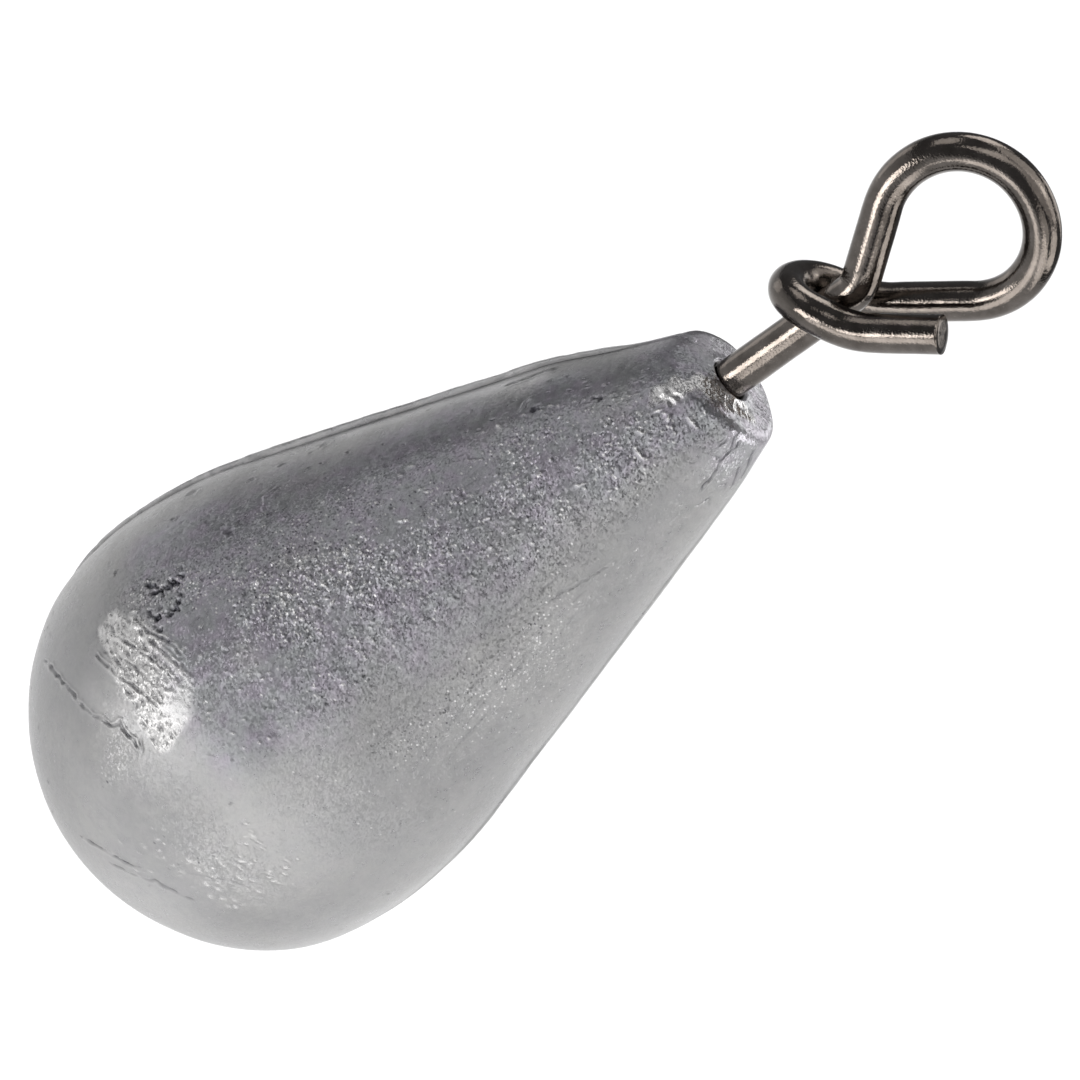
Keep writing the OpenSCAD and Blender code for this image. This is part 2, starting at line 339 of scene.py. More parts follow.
# The crumpled lead in front of the mouth, from the side of the nose round the wire.
CRUMPLE = np.array([(-0.7, -1.98, -7.97), (-0.67, -1.85, -7.55), (-0.45, -1.3, -7.0), (-0.1, -1.25, -7.0),
                    (0.35, -0.95, -7.0), (0.85, -0.4, -7.0)])

# Darker and paler strokes of painted light along lines: the reflection stripes that run up the body, highlights on the
# belly and the light strip by its edge: (places, half width, amount).
PAINTED_LIGHT_STROKES = [
    ([(-16.84, 199.9), (-14.24, 209), (-11.7, 217.6), (-10.44, 222.6), (-9.22, 230.3)], 0.42, -0.1),
    ([(-9.6, 227), (-8.6, 233), (-7.9, 237.5)], 0.3, -0.4),
    ([(-16.87, 218.8), (-14.35, 224), (-11.85, 231), (-10.39, 238), (-8.93, 245.6), (-7.74, 254.7)], 0.32, 0.3),
    ([(-19.5, 183), (-15.2, 188), (-12.6, 190), (-10.8, 197)], 0.4, 2.4),
    ([(-22.6, 214), (-21.4, 216)], 1.2, -0.2),
    ([(-24.4, 268), (-24.4, 290)], 1.9, 1.05),
    ([(-23.45, 241), (-23.3, 249)], 0.5, 0.7),
    ([(-10.6, 201), (-9.3, 215)], 0.3, 0.9),
    ([(-26.0, 290), (-25.6, 300)], 1.2, 0.8),
    ([(-22.5, 240), (-22.3, 252)], 0.7, 1.4),
    ([(-8.6, 242), (-7.9, 250)], 0.6, 0.5),
    ([(-20.9, 262), (-20.3, 272)], 0.9, -0.9),
    ([(-17.4, 196), (-14.6, 202), (-12.2, 207)], 0.4, 0.4),
    ([(-9.9, 226), (-9.0, 230)], 0.3, 0.5),
]

# Places with a coarser grain: (places, half width, amount).
GRAINY = [
    ([(-21.3, 226), (-20.3, 229)], 0.75, 0.75),
    ([(-18.0, 303), (-15.8, 306), (-13.6, 306)], 0.7, 0.3),
    ([(-18.2, 241), (-16.4, 250)], 0.8, 0.5),
    ([(-9.6, 262), (-8.6, 258)], 0.5, 0.3),
    ([(-24.3, 282), (-23.0, 300)], 0.7, 0.25),
    ([(-23.5, 256), (-24.3, 261)], 0.35, 0.5),
    ([(-16.84, 199.9), (-14.24, 209), (-11.7, 217.6), (-10.44, 222.6)], 0.5, -0.25),
    ([(-8.3, 247), (-7.9, 256)], 0.5, -0.5),
]


def scatter(rng, fields):
    """Marks at random places of each field, with their other numbers drawn from its ranges."""
    for count, heights, degrees, *ranges in fields:
        for height, around in zip(rng.uniform(*heights, count), rng.uniform(*degrees, count)):
            yield height, around, *(rng.uniform(*limits) for limits in ranges)


def reach_from(p, height, degrees, reach, warp, seed):
    """The points round a place of the body, and their distances from it, warped so that nothing is a true circle."""
    mid = on_body(height, degrees)
    at = near(p, mid[None], 2.5 * reach)
    q = p[at] - mid
    return at, q, np.linalg.norm(q, axis=1) * (1 + warp * layered(p[at], reach * 0.8, 2, seed))


def painted(p, strokes):
    """Soft strokes along lines on the body, added up."""
    total = np.zeros(len(p))
    for places, half, amount in strokes:
        places = way(places)
        at = near(p, places, 2.4 * half)
        dist = to_line(p[at], places)[0]
        total[at] += amount * np.exp(-((dist / half * (1 + 0.25 * noise(p[at], half, 45))) ** 2))
    return total


def swells(p, angle):
    """How far the casting as a whole stands off its plain outline. It is fuller underneath."""
    fall = (BELLY_Z - p[:, 2]) / BELLY_R
    low = -SINK + UNDERSIDE_SWELL * step(0.12, 0.5, fall) * (1 - 0.6 * step(0.92, 1.0, fall))
    low += SIDE_SWELL * step(0.08, 0.3, fall) * step(0.85, 0.6, fall) * step(0.2, 0.9, np.cos(angle))
    low += 0.018 * layered(p, 3.1, 2, 1)
    low += 0.007 * noise(p, 0.9, 5)
    return low


def crystals(p, angle):
    """How rough and how grainy the skin is, and how near it is to the nose."""
    z = p[:, 2]
    # the crystalline band runs along the side that faces up to the left, from the belly to the nose
    band = step(0.62, 0.96, np.cos(angle - BAND_SIDE) + 0.1 * noise(p, 1.6, 8)) * step(-22.3, -20.8, z)
    band = np.clip(band * (1 + 0.5 * layered(p, 1.3, 2, 9)), 0, 1)
    nose = step(-9.0, -7.4, z)
    rough = np.clip(0.25 + 0.75 * band + 0.4 * nose, 0, 1.2)
    # its coarsest grain lies along a line that turns towards the front on its way up
    middle = np.cos(angle - np.radians(COARSE_DEG + COARSE_TURN_DEG * step(-15, -9, z)))
    coarse = step(0.74, 0.99, middle + 0.08 * noise(p, 1.4, 11)) * step(-22.6, -20.6, z)
    coarse *= 0.4 + 0.6 * step(-20.2, -18.4, z)
    lower_side = step(-0.2, 0.6, np.cos(angle - LOWER_SIDE))
    grain = 0.17 + 0.1 * noise(p, 1.8, 10) + 0.1 * lower_side * step(-22, -19, z)
    grain += coarse * (0.36 + 0.36 * noise(p, 0.9, 12)) + 0.14 * nose + painted(p, GRAINY)
    return rough, np.clip(grain, 0.05, 1.2), nose


def folds(q, size):
    """Narrow crests and wider troughs, 1 at the highest."""
    return 1 - 1.7 * np.abs(noise(q, size, 51)) - 0.9 * np.abs(noise(q, 0.6 * size, 52))


def wrinkles(p):
    """The patch on the belly, the crumpled rim of the nose, the spot of painted highlight, and the ripple of the
    folds.
    """
    places = way(PATCH)
    patch = np.zeros(len(p))
    at = near(p, places, 1.4)
    dist, along, _ = to_line(p[at], places)
    runs = np.cumsum([0.0, *np.linalg.norm(np.diff(places, axis=0), axis=1)])
    patch[at] = step(1.25, 0.65, dist / np.interp(along, runs, PATCH_HALF) + 0.35 * layered(p[at], 0.5, 2, 50))
    # a round spot of painted highlight on the belly, pale and smooth, where the patch and its folds give way
    highlight_spot = np.exp(-((np.linalg.norm(p - on_body(*HIGHLIGHT_SPOT_PLACE), axis=1) / HIGHLIGHT_SPOT_REACH) ** 2))
    patch *= 1 - highlight_spot
    dist = np.full(len(p), FAR_AWAY)
    at = near(p, CRUMPLE, 0.8)
    dist[at] = to_line(p[at], CRUMPLE)[0]
    rim = step(0.42, 0.18, dist + 0.12 * noise(p, 0.3, 53))
    # the folds are drawn out along the patch, and coarser at the rim
    fold = places[-2] - places[0]
    fold /= np.linalg.norm(fold)
    q = p - 0.6 * (p @ fold)[:, None] * fold
    fine, coarser = folds(q, FINE_FOLDS), folds(q, RIM_FOLDS)
    return patch, rim, highlight_spot, fine + rim * (coarser - fine)


def lead_height(p, angle):
    """How far the cast skin stands off its plain outline, in millimetres, and its finish by the names of its parts,
    with its painted highlights and painted shade among them.
    """
    z = p[:, 2]
    low = swells(p, angle)
    rough, grain, nose = crystals(p, angle)
    low += rough * (0.004 * noise(p, 0.4, 21) + 0.002 * noise(p, 0.17, 22)) + grain * 0.003 * noise(p, 0.1, 33)
    low += 0.02 * nose * noise(p, 0.9, 41) - 0.015 * nose
    patchy = grain**2 * np.clip(0.8 + 0.9 * noise(p, 0.8, 36), 0, 1.5)
    grains = patchy * step(0.45, 0.8, noise(p, 0.08, 34))
    holes = patchy * step(0.45, 0.8, noise(p, 0.08, 35))
    low += GRAIN_H * grains - HOLE_DEPTH * holes

    # the wrinkled skin and the nose's crumpled rim get a painted highlight, most on the crests of the folds, less so
    # at the top of the patch; the raised grains and the highlight spot get one too
    patch, rim, highlight_spot, ripple = wrinkles(p)
    wrinkled = np.maximum(patch, rim)
    low += wrinkled * (RIPPLE_H * ripple - 0.008) + CRUMPLE_H * rim * ripple
    patch_highlight = wrinkled * (1 - 0.45 * step(-21.8, -21.3, z) * (z < WAIST_Z))
    painted_highlight = patch_highlight * (0.66 + 0.25 * rim + 0.36 * step(0.0, 0.6, ripple)) + 0.6 * grains + 0.55 * highlight_spot
    # painted shade in the grain's holes and in the troughs of the patch's folds
    dark = 0.3 * holes + 0.6 * patch * step(-0.35, -0.85, ripple)
    grain = np.maximum(grain, 0.8 * patch) * (1 - highlight_spot)
    # the tone: the strokes of painted light and shade, a random cloud, and paler on the -X side between heights -21
    # and -19
    tone_and_painted_light = painted(p, PAINTED_LIGHT_STROKES) + 0.15 * noise(p, 1.2, 46) + 0.35 * step(0.1, 0.6, -np.cos(angle)) * step(-21, -19, z)
    # painted light on the nose's end face: paler on the +X side of the mouth, darker on the -X side
    tone_and_painted_light += step(NOSE_Z - 0.35, NOSE_Z - 0.02, z) * (1.7 * step(-0.7, 0.3, p[:, 0]) - 0.5)

    rng = np.random.default_rng(MARKS_SEED)
    add_cracks(p, low, painted_highlight, dark)
    add_pits(p, low, dark, wrinkled, highlight_spot, rng)
    add_hollows(p, low, dark)
    add_flecks(p, low, painted_highlight, dark, rng)
    return low, {"rough": rough, "grain": grain, "tone_and_painted_light": tone_and_painted_light, "painted_highlight": painted_highlight, "dark": dark}


def add_cracks(p, low, painted_highlight, dark):
    """Cuts the cold shuts and the lips beside them, which fade at both ends, into the skin and its finish, with
    painted shade along each cut and a painted highlight on its lip.
    """
    for places, width, depth, lip in CRACKS:
        places = way(places)
        at = near(p, places, 0.6)
        q = p[at]
        q = q + 0.05 * np.stack([noise(q, 0.22, s) for s in (61, 62, 63)], 1)
        dist, along, run = to_line(q, places)
        fade = step(0, 0.2, along) * step(0, 0.2, run - along)
        fade *= 0.75 + 0.4 * noise(q, 0.25, 64)
        line_in, line_lip = np.exp(-((dist / width) ** 2)), np.exp(-(((dist - 1.9 * width) / width) ** 2))
        low[at] += fade * (lip * line_lip - depth * line_in)
        # painted shade along the cut and a painted highlight on its lip
        dark[at] += fade * line_in * step(0, 0.04, depth)
        painted_highlight[at] += fade * line_lip * step(0.01, 0.05, abs(lip)) * 0.7


def add_pits(p, low, dark, wrinkled, highlight_spot, rng):
    """Cuts the gas pits, apart from those in wrinkled skin or under the painted highlight spot, and paints shade into
    them.
    """
    for height, degrees, radius, depth in [*PITS, *scatter(rng, PIT_FIELDS)]:
        at, _, dist = reach_from(p, height, degrees, radius, 0.5, 71)
        depth = depth * (1 - wrinkled[at]) * (1 - highlight_spot[at])
        low[at] -= depth * np.exp(-((dist / radius) ** 2) * 1.3)
        low[at] += 0.5 * depth * np.exp(-(((dist - 1.45 * radius) / (0.4 * radius)) ** 2))
        dark[at] += np.exp(-((dist / radius) ** 2)) * step(0.01, 0.05, depth)


def add_hollows(p, low, dark):
    """Tears the ragged hollows out of the skin and paints shade into them."""
    for height, degrees, reach, depth in HOLLOWS:
        at, _, dist = reach_from(p, height, degrees, reach, 0.5, 75)
        torn = step(-0.15, 0.25, layered(p[at], 0.17, 2, 76)) * step(1.2, 0.6, dist / reach)
        low[at] -= depth * torn
        dark[at] += 1.2 * torn


def add_flecks(p, low, painted_highlight, dark, rng):
    """Raises the flecks and scores the scratches, each along its own way over the skin, with a painted highlight on
    each fleck and painted shade in each scratch.
    """
    for height, degrees, length, turn, rise in [*FLECKS, *scatter(rng, FLECK_FIELDS)]:
        at, q, _ = reach_from(p, height, degrees, length, 0, 0)
        a, t = math.radians(degrees), math.radians(turn)
        round_way, up_way = np.array([-math.sin(a), math.cos(a), 0]), np.array([0, 0, 1.0])
        u = q @ (math.cos(t) * up_way + math.sin(t) * round_way) / (0.5 * length)
        v = q @ (math.cos(t) * round_way - math.sin(t) * up_way) / min(0.1 * length + 0.015, FLECK_HALF_WIDTH)
        fleck = np.exp(-(u**2) - (v + 0.4 * noise(p[at], 0.09, 81)) ** 2)
        low[at] += rise * fleck
        painted_highlight[at] += fleck * step(0.005, 0.04, rise)
        dark[at] += 0.7 * fleck * step(0, 0.02, -rise)


def parting(p, low, finish, outward):
    """The ridge where the mould's halves met, with thin flash and a crease at its foot on the side of the gate. The
    ridge is painted pale as a highlight and the crease dark as shade.
    """
    ragged = layered(p, 0.7, 3, 91)
    half = RIDGE_W / 2 * (1 + 0.2 * ragged)
    off = np.abs(p[:, 1])
    strong = np.where(p[:, 0] < 0, 1.0, 0.25) * outward
    z = p[:, 2]
    strong *= 1 - 0.6 * step(-9.6, -8.2, z)
    flash = FLASH_H * step(-21.6, -19.5, z) * step(-9.4, -10.4, z) * (0.6 + 0.4 * step(-0.3, 0.3, noise(p, 2.2, 92)))
    top = RIDGE_H * np.clip(0.9 + 0.25 * ragged, 0.3, 1) + flash
    top = np.minimum(top, RIDGE_REACH - np.hypot(p[:, 0], p[:, 1]))
    share = step(half, half * 0.55, off)
    crease = np.exp(-(((off - 1.25 * half) / 0.05) ** 2)) * strong * (0.35 + 0.65 * step(-0.1, 0.6, noise(p, 1.3, 93)))
    crease *= 0.35 + 0.65 * step(-12.6, -11.2, z) * step(-8.6, -9.6, z)
    low = low - CREASE_DEPTH * crease
    # painted shade in the crease
    finish["dark"] += 0.8 * crease
    # painted highlight along the ridge
    finish["tone_and_painted_light"] += 2.8 * share * strong
    return low + share * strong * (top - low)


def nip_gate(p):
    """Cuts the nose off at the slanting, crumpled face where the gate was."""
    g = np.array([math.sin(GATE_SLOPE) * math.cos(GATE_SIDE), math.sin(GATE_SLOPE) * math.sin(GATE_SIDE),
                  math.cos(GATE_SLOPE)])
    at = np.array([GATE_REACH * math.cos(GATE_SIDE), GATE_REACH * math.sin(GATE_SIDE), NOSE_Z])
    over = (p - at) @ g + 0.04 + 0.012 * layered(p, 0.5, 2, 101) + 0.008 * np.abs(noise(p, 0.16, 102))
    over = 0.5 * (over + np.sqrt(over**2 + GATE_ROUNDING**2)) * (p[:, 2] > NOSE_Z - 2)
    return p - over[:, None] * g


def draw_in(p):
    """Narrows the nose towards its end, most on the side of the gate, and leaves the mouth as it is."""
    r = np.hypot(p[:, 0], p[:, 1])
    left, right = step(0.1, 0.95, -p[:, 0] / (r + 1e-6)), step(0.1, 0.95, p[:, 0] / (r + 1e-6))
    share = DRAW_LEFT * left * step(-11.0, -7.0, p[:, 2]) + DRAW_RIGHT * right * step(-8.6, -7.0, p[:, 2])
    share = share * step(0.75, 1.6, r)
    return p * np.stack([1 - share, 1 - share, np.ones(len(p))], 1)


def new_mesh(name, points, faces, smooth=True):
    """An object in the scene, from points in millimetres."""
    mesh = bpy.data.meshes.new(name)
    mesh.from_pydata((points * MM).tolist(), [], faces)
    mesh.update()
    if smooth:
        mesh.shade_smooth()
    thing = bpy.data.objects.new(name, mesh)
    bpy.context.scene.collection.objects.link(thing)
    return thing


def rings_to_faces(rings, columns, first_pole, last_pole):
    """Faces of a tube of rings that closes at a pole at each end. Vertices are the rings' and then the two poles."""
    i, j = np.meshgrid(np.arange(rings - 1), np.arange(columns), indexing="ij")
    a, b = i * columns + j, i * columns + (j + 1) % columns
    quads = np.stack([a, b, b + columns, a + columns], -1).reshape(-1, 4)
    faces = quads.tolist()
    last = (rings - 1) * columns
    for n in range(columns):
        m = (n + 1) % columns
        faces.append([m, n, first_pole])
        faces.append([last + n, last + m, last_pole])
    return faces


def store(thing, name, values):
    """Keeps a number per point, for the material to read."""
    layer = thing.data.attributes.new(name, "FLOAT", "POINT")
    layer.data.foreach_set("value", np.asarray(values, np.float32))


def build_lead():
    """The body: its skin with all its marks, and the plain hollow for the swivel. The hole keeps its edge."""
    rows, outer = lead_rows()
    angles = np.arange(COLUMNS) * 2 * math.pi / COLUMNS
    angles = angles - CROWDING * np.sin(angles - CROWDED_SIDE)
    c, s = np.cos(angles), np.sin(angles)
    r, z, nr, nz = (rows[:, k][:, None] for k in range(4))
    p = np.stack([r * c, r * s, np.broadcast_to(z, (len(rows), COLUMNS))], -1).reshape(-1, 3)
    n = np.stack([nr * c, nr * s, np.broadcast_to(nz, (len(rows), COLUMNS))], -1).reshape(-1, 3)
    angle = np.tile(angles, len(rows))
    poles = np.array([[0, 0, BELLY_Z - BELLY_R], [0, 0, BARREL_BOTTOM]])
    cut = outer * COLUMNS
    skin = np.concatenate([p[:cut], poles[:1]])
    skin_n = np.concatenate([n[:cut], [[0, 0, -1]]])
    skin_angle = np.append(angle[:cut], 0)
    to_mouth = np.hypot(skin[:, 0], skin[:, 1]) - MOUTH_R
    on_face = skin[:, 2] > NOSE_Z - MOUTH_FLARE - 0.01
    hold = np.where(on_face, step(0.0, 0.35, to_mouth), 1.0)
    height, finish = lead_height(skin, skin_angle)
    height = parting(skin, height, finish, np.hypot(skin_n[:, 0], skin_n[:, 1]) > 0.001)
    skin = nip_gate(draw_in(skin + (height * hold)[:, None] * skin_n))
    points = np.concatenate([skin[:cut], p[cut:], skin[cut:], poles[1:]])
    faces = rings_to_faces(len(rows), COLUMNS, len(points) - 2, len(points) - 1)
    lead = new_mesh("Sinker.lead", points, faces)
    blank = np.zeros(len(p) - cut)
    for name, values in finish.items():
        store(lead, name, np.concatenate([values[:cut], blank, values[cut:], [0]]))
    return lead


# ---------------------------------------------------------------- the wire
WIRE_R = 0.5
BEND_THINNING = 0.01
SHANK_START = -9.95472
HEAD_R = 0.85
HEAD_H = 0.8
HEAD_CHAMFER = 0.15
SIDES = 56
STEP = 0.05
EYE_LEAN = 9.69697
EYE_ROLL = 10.9166
NECK_R = 0.9
NECK_BEND = 36
STEPS = [
    ("feed", -2.90472 - SHANK_START - NECK_R * math.tan(math.radians(NECK_BEND / 2))),
    ("roll", 180), ("bend", NECK_BEND, NECK_R), ("roll", 180), ("feed", 1.88),
    ("roll", EYE_LEAN), ("bend", 124, 1.98), ("roll", EYE_ROLL), ("bend", 124, 1.98), ("roll", EYE_LEAN),
    ("feed", 1.99039), ("bend", 27, 3.0), ("roll", -94.5), ("bend", 180, 1.04 / math.cos(math.radians(4.5))),
    ("roll", 85.5), ("feed", 0.5), ("bend", 25, 2.5), ("feed", 1.77),
]

# Flats from the bending pins: (place, direction that they face, reach, depth).
FLATS = [
    ((0.05, 0, -2.75), (0.35, -0.9, 0.1), 0.75, 0.05),
    ((-0.35, -0.2, -2.1), (-0.3, -0.95, 0.0), 0.5, 0.03),
    ((1.2, 0.9, -2.2), (0.1, -1.0, 0.2), 0.5, 0.03),
]
END_ROUNDING = 0.036
END_SLANT = 0.05

# The wire's relief, in millimetres. Its radius is set back a little to make room for it.
SET_BACK = 0.002
DIE_LINE_H = 0.0035
UNEVEN_H = 0.004
UV_PER_MM = 0.3


def turned(axis, angle):
    """The 3 x 3 matrix of a turn about an axis."""
    return np.array(Matrix.Rotation(angle, 3, Vector(axis)))


def wire_path():
    """Centres, ring axes, places along the wire and bend amounts, as a wire former makes them."""
    jaws = np.eye(3)
    ring = np.eye(3)
    at = np.array([0, 0, SHANK_START])
    samples = [(at, ring.copy(), 0.0, 0.0)]
    run = 0.0
    for kind, amount, *rest in STEPS:
        if kind == "roll":
            jaws = jaws @ turned((0, 0, 1), math.radians(amount))
        elif kind == "feed":
            count = max(int(amount / STEP), 1)
            for _ in range(count):
                at = at + jaws[:, 2] * amount / count
                run += amount / count
                samples.append((at, ring.copy(), run, 0.0))
        else:
            radius = rest[0]
            angle = math.radians(amount)
            count = int(angle * radius / STEP) + 1
            for _ in range(count):
                centre = at + jaws[:, 0] * radius
                turn = turned(jaws[:, 1], angle / count)
                at = centre + turn @ (at - centre)
                jaws, ring = turn @ jaws, turn @ ring
                run += angle * radius / count
                samples.append((at, ring.copy(), run, 1.0))
    return samples


def build_wire():
    """The wire with its head and its cut end, as rings along its path, and the places on it for its material."""
    centres, axes, along, bent = (np.array(part) for part in zip(*wire_path()))
    soft = np.convolve(np.pad(bent, 4, "edge"), np.ones(9) / 9, "valid")
    radius = WIRE_R - SET_BACK - BEND_THINNING * soft

    # the head: (height over the shoulder, radius) rows, then the shank
    inner = HEAD_R - HEAD_CHAMFER
    head = [(-HEAD_H, inner), (HEAD_CHAMFER - HEAD_H, HEAD_R), (-HEAD_CHAMFER, HEAD_R), (0, inner), (0, WIRE_R)]
    head_c = np.array([[0, 0, SHANK_START + h] for h, _ in head])
    head_r = np.array([r for _, r in head])

    # the nipped tail: (distance past the last ring, share of the radius) rows
    tail = [(0.0, 1.0), (0.015, 0.985), (0.03, 0.94), (END_ROUNDING, 0.6), (END_ROUNDING, 0.25)]
    end = axes[-1][:, 2]
    tail_c = np.array([centres[-1] + end * (d - END_ROUNDING) for d, _ in tail])
    tail_r = np.array([radius[-1] * share for _, share in tail])
    centres = np.concatenate([head_c, centres[:-1], tail_c])
    axes = np.concatenate([np.repeat(axes[:1], len(head), 0), axes[:-1], np.repeat(axes[-1:], len(tail), 0)])
    radius = np.concatenate([head_r, radius[:-1], tail_r])
    along = np.concatenate([np.zeros(len(head)), along[:-1], np.full(len(tail), along[-1])])

    angles = np.arange(SIDES) * 2 * math.pi / SIDES
    out = np.cos(angles)[None, :, None] * axes[:, None, :, 0] + np.sin(angles)[None, :, None] * axes[:, None, :, 1]
    points = (centres[:, None] + out * radius[:, None, None]).reshape(-1, 3)
    normals = out.reshape(-1, 3)
    ring_angle = np.tile(angles, len(centres))
    ring_along = np.repeat(along, SIDES)

    # drawn and bent wire isn't quite even: die lines, shallow dents and flats
    round_place = np.stack([np.cos(ring_angle), np.sin(ring_angle), ring_along * 0.12], 1)
    low = -DIE_LINE_H + DIE_LINE_H * noise(round_place, 0.35, 201)
    low += UNEVEN_H * layered(points, 0.9, 2, 203)
    for place, direction, reach, depth in FLATS:
        d = np.array(direction) / np.linalg.norm(direction)
        dist = np.linalg.norm(points - np.array(place), axis=1)
        flat = step(reach, reach * 0.4, dist) * depth
        proud = normals @ d - (1 - flat / WIRE_R)
        low -= np.where(proud > 0, proud * WIRE_R, 0)
    in_hole = points[:, 2] < NOSE_Z + 0.1
    low[in_hole] = 0
    points = points + low[:, None] * normals

    # the cut end slants a little
    last = len(tail) * SIDES
    slant = axes[-1][:, 0]
    lean = (points[-last:] - centres[-1]) @ slant / WIRE_R
    points[-last:] += (-END_SLANT * (1 - lean) / 2)[:, None] * end
    poles = np.array([[0, 0, SHANK_START - HEAD_H], points[-SIDES:].mean(0)])
    points = np.concatenate([points, poles])
    faces = rings_to_faces(len(centres), SIDES, len(points) - 2, len(points) - 1)
    wire = new_mesh("Line.eye", points, faces)

    uv = wire.data.uv_layers.new(name="wire")
    corner = np.zeros(len(wire.data.loops), np.int64)
    wire.data.loops.foreach_get("vertex_index", corner)
    u = np.append(ring_angle / (2 * math.pi), [0, 0])[corner]
    v = np.append(ring_along, [0, along[-1]])[corner]
    face_of = np.repeat(np.arange(len(wire.data.polygons)), [len(f) for f in faces])
    top = np.zeros(len(wire.data.polygons))
    np.maximum.at(top, face_of, u)
    u = np.where((top[face_of] > 0.9) & (u < 0.1), u + 1, u)
    uv.data.foreach_set("uv", np.stack([u, v * UV_PER_MM], 1).ravel().astype(np.float32))
    return wire


# ---------------------------------------------------------------- materials
def put(tree, kind, inputs=None, **settings):
    """A node with its settings, and each input either linked from a socket or set to a value."""
    made = tree.nodes.new("ShaderNode" + kind)
    for key, value in settings.items():
        setattr(made, key, value)
    for key, value in (inputs or {}).items():
        if isinstance(value, bpy.types.NodeSocket):
            tree.links.new(value, made.inputs[key])
        else:
            made.inputs[key].default_value = value
    return made


def ramp(tree, value, *stops):
    """A colour ramp from (position, grey or colour) stops."""
    made = put(tree, "ValToRGB", {"Fac": value})
    line_up = made.color_ramp.elements
    while len(line_up) < len(stops):
        line_up.new(0.5)
    for stop, (place, colour) in zip(line_up, stops):
        stop.position = place
        stop.color = (*colour, 1) if isinstance(colour, tuple) else (colour, colour, colour, 1)
    return made.outputs["Color"]


def blend(tree, share, a, b, mode="MIX"):
    """Colour a with a share of colour b over it."""
    made = put(tree, "Mix", data_type="RGBA", blend_type=mode)
    for socket, value in ((made.inputs[0], share), (made.inputs[6], a), (made.inputs[7], b)):
        if isinstance(value, bpy.types.NodeSocket):
            tree.links.new(value, socket)
        else:
            socket.default_value = (*value, 1) if isinstance(value, tuple) else value
    return made.outputs[2]


def span(tree, value, low, high, to_low, to_high):
    """A value brought from one range to another."""
    ends = {"Value": value, "From Min": low, "From Max": high, "To Min": to_low, "To Max": to_high}
    return put(tree, "MapRange", ends).outputs["Result"]


def material(name):
    """A new material with its node tree and its shader."""
    made = bpy.data.materials.new(name)
    made.use_nodes = True
    return made, made.node_tree, made.node_tree.nodes["Principled BSDF"]


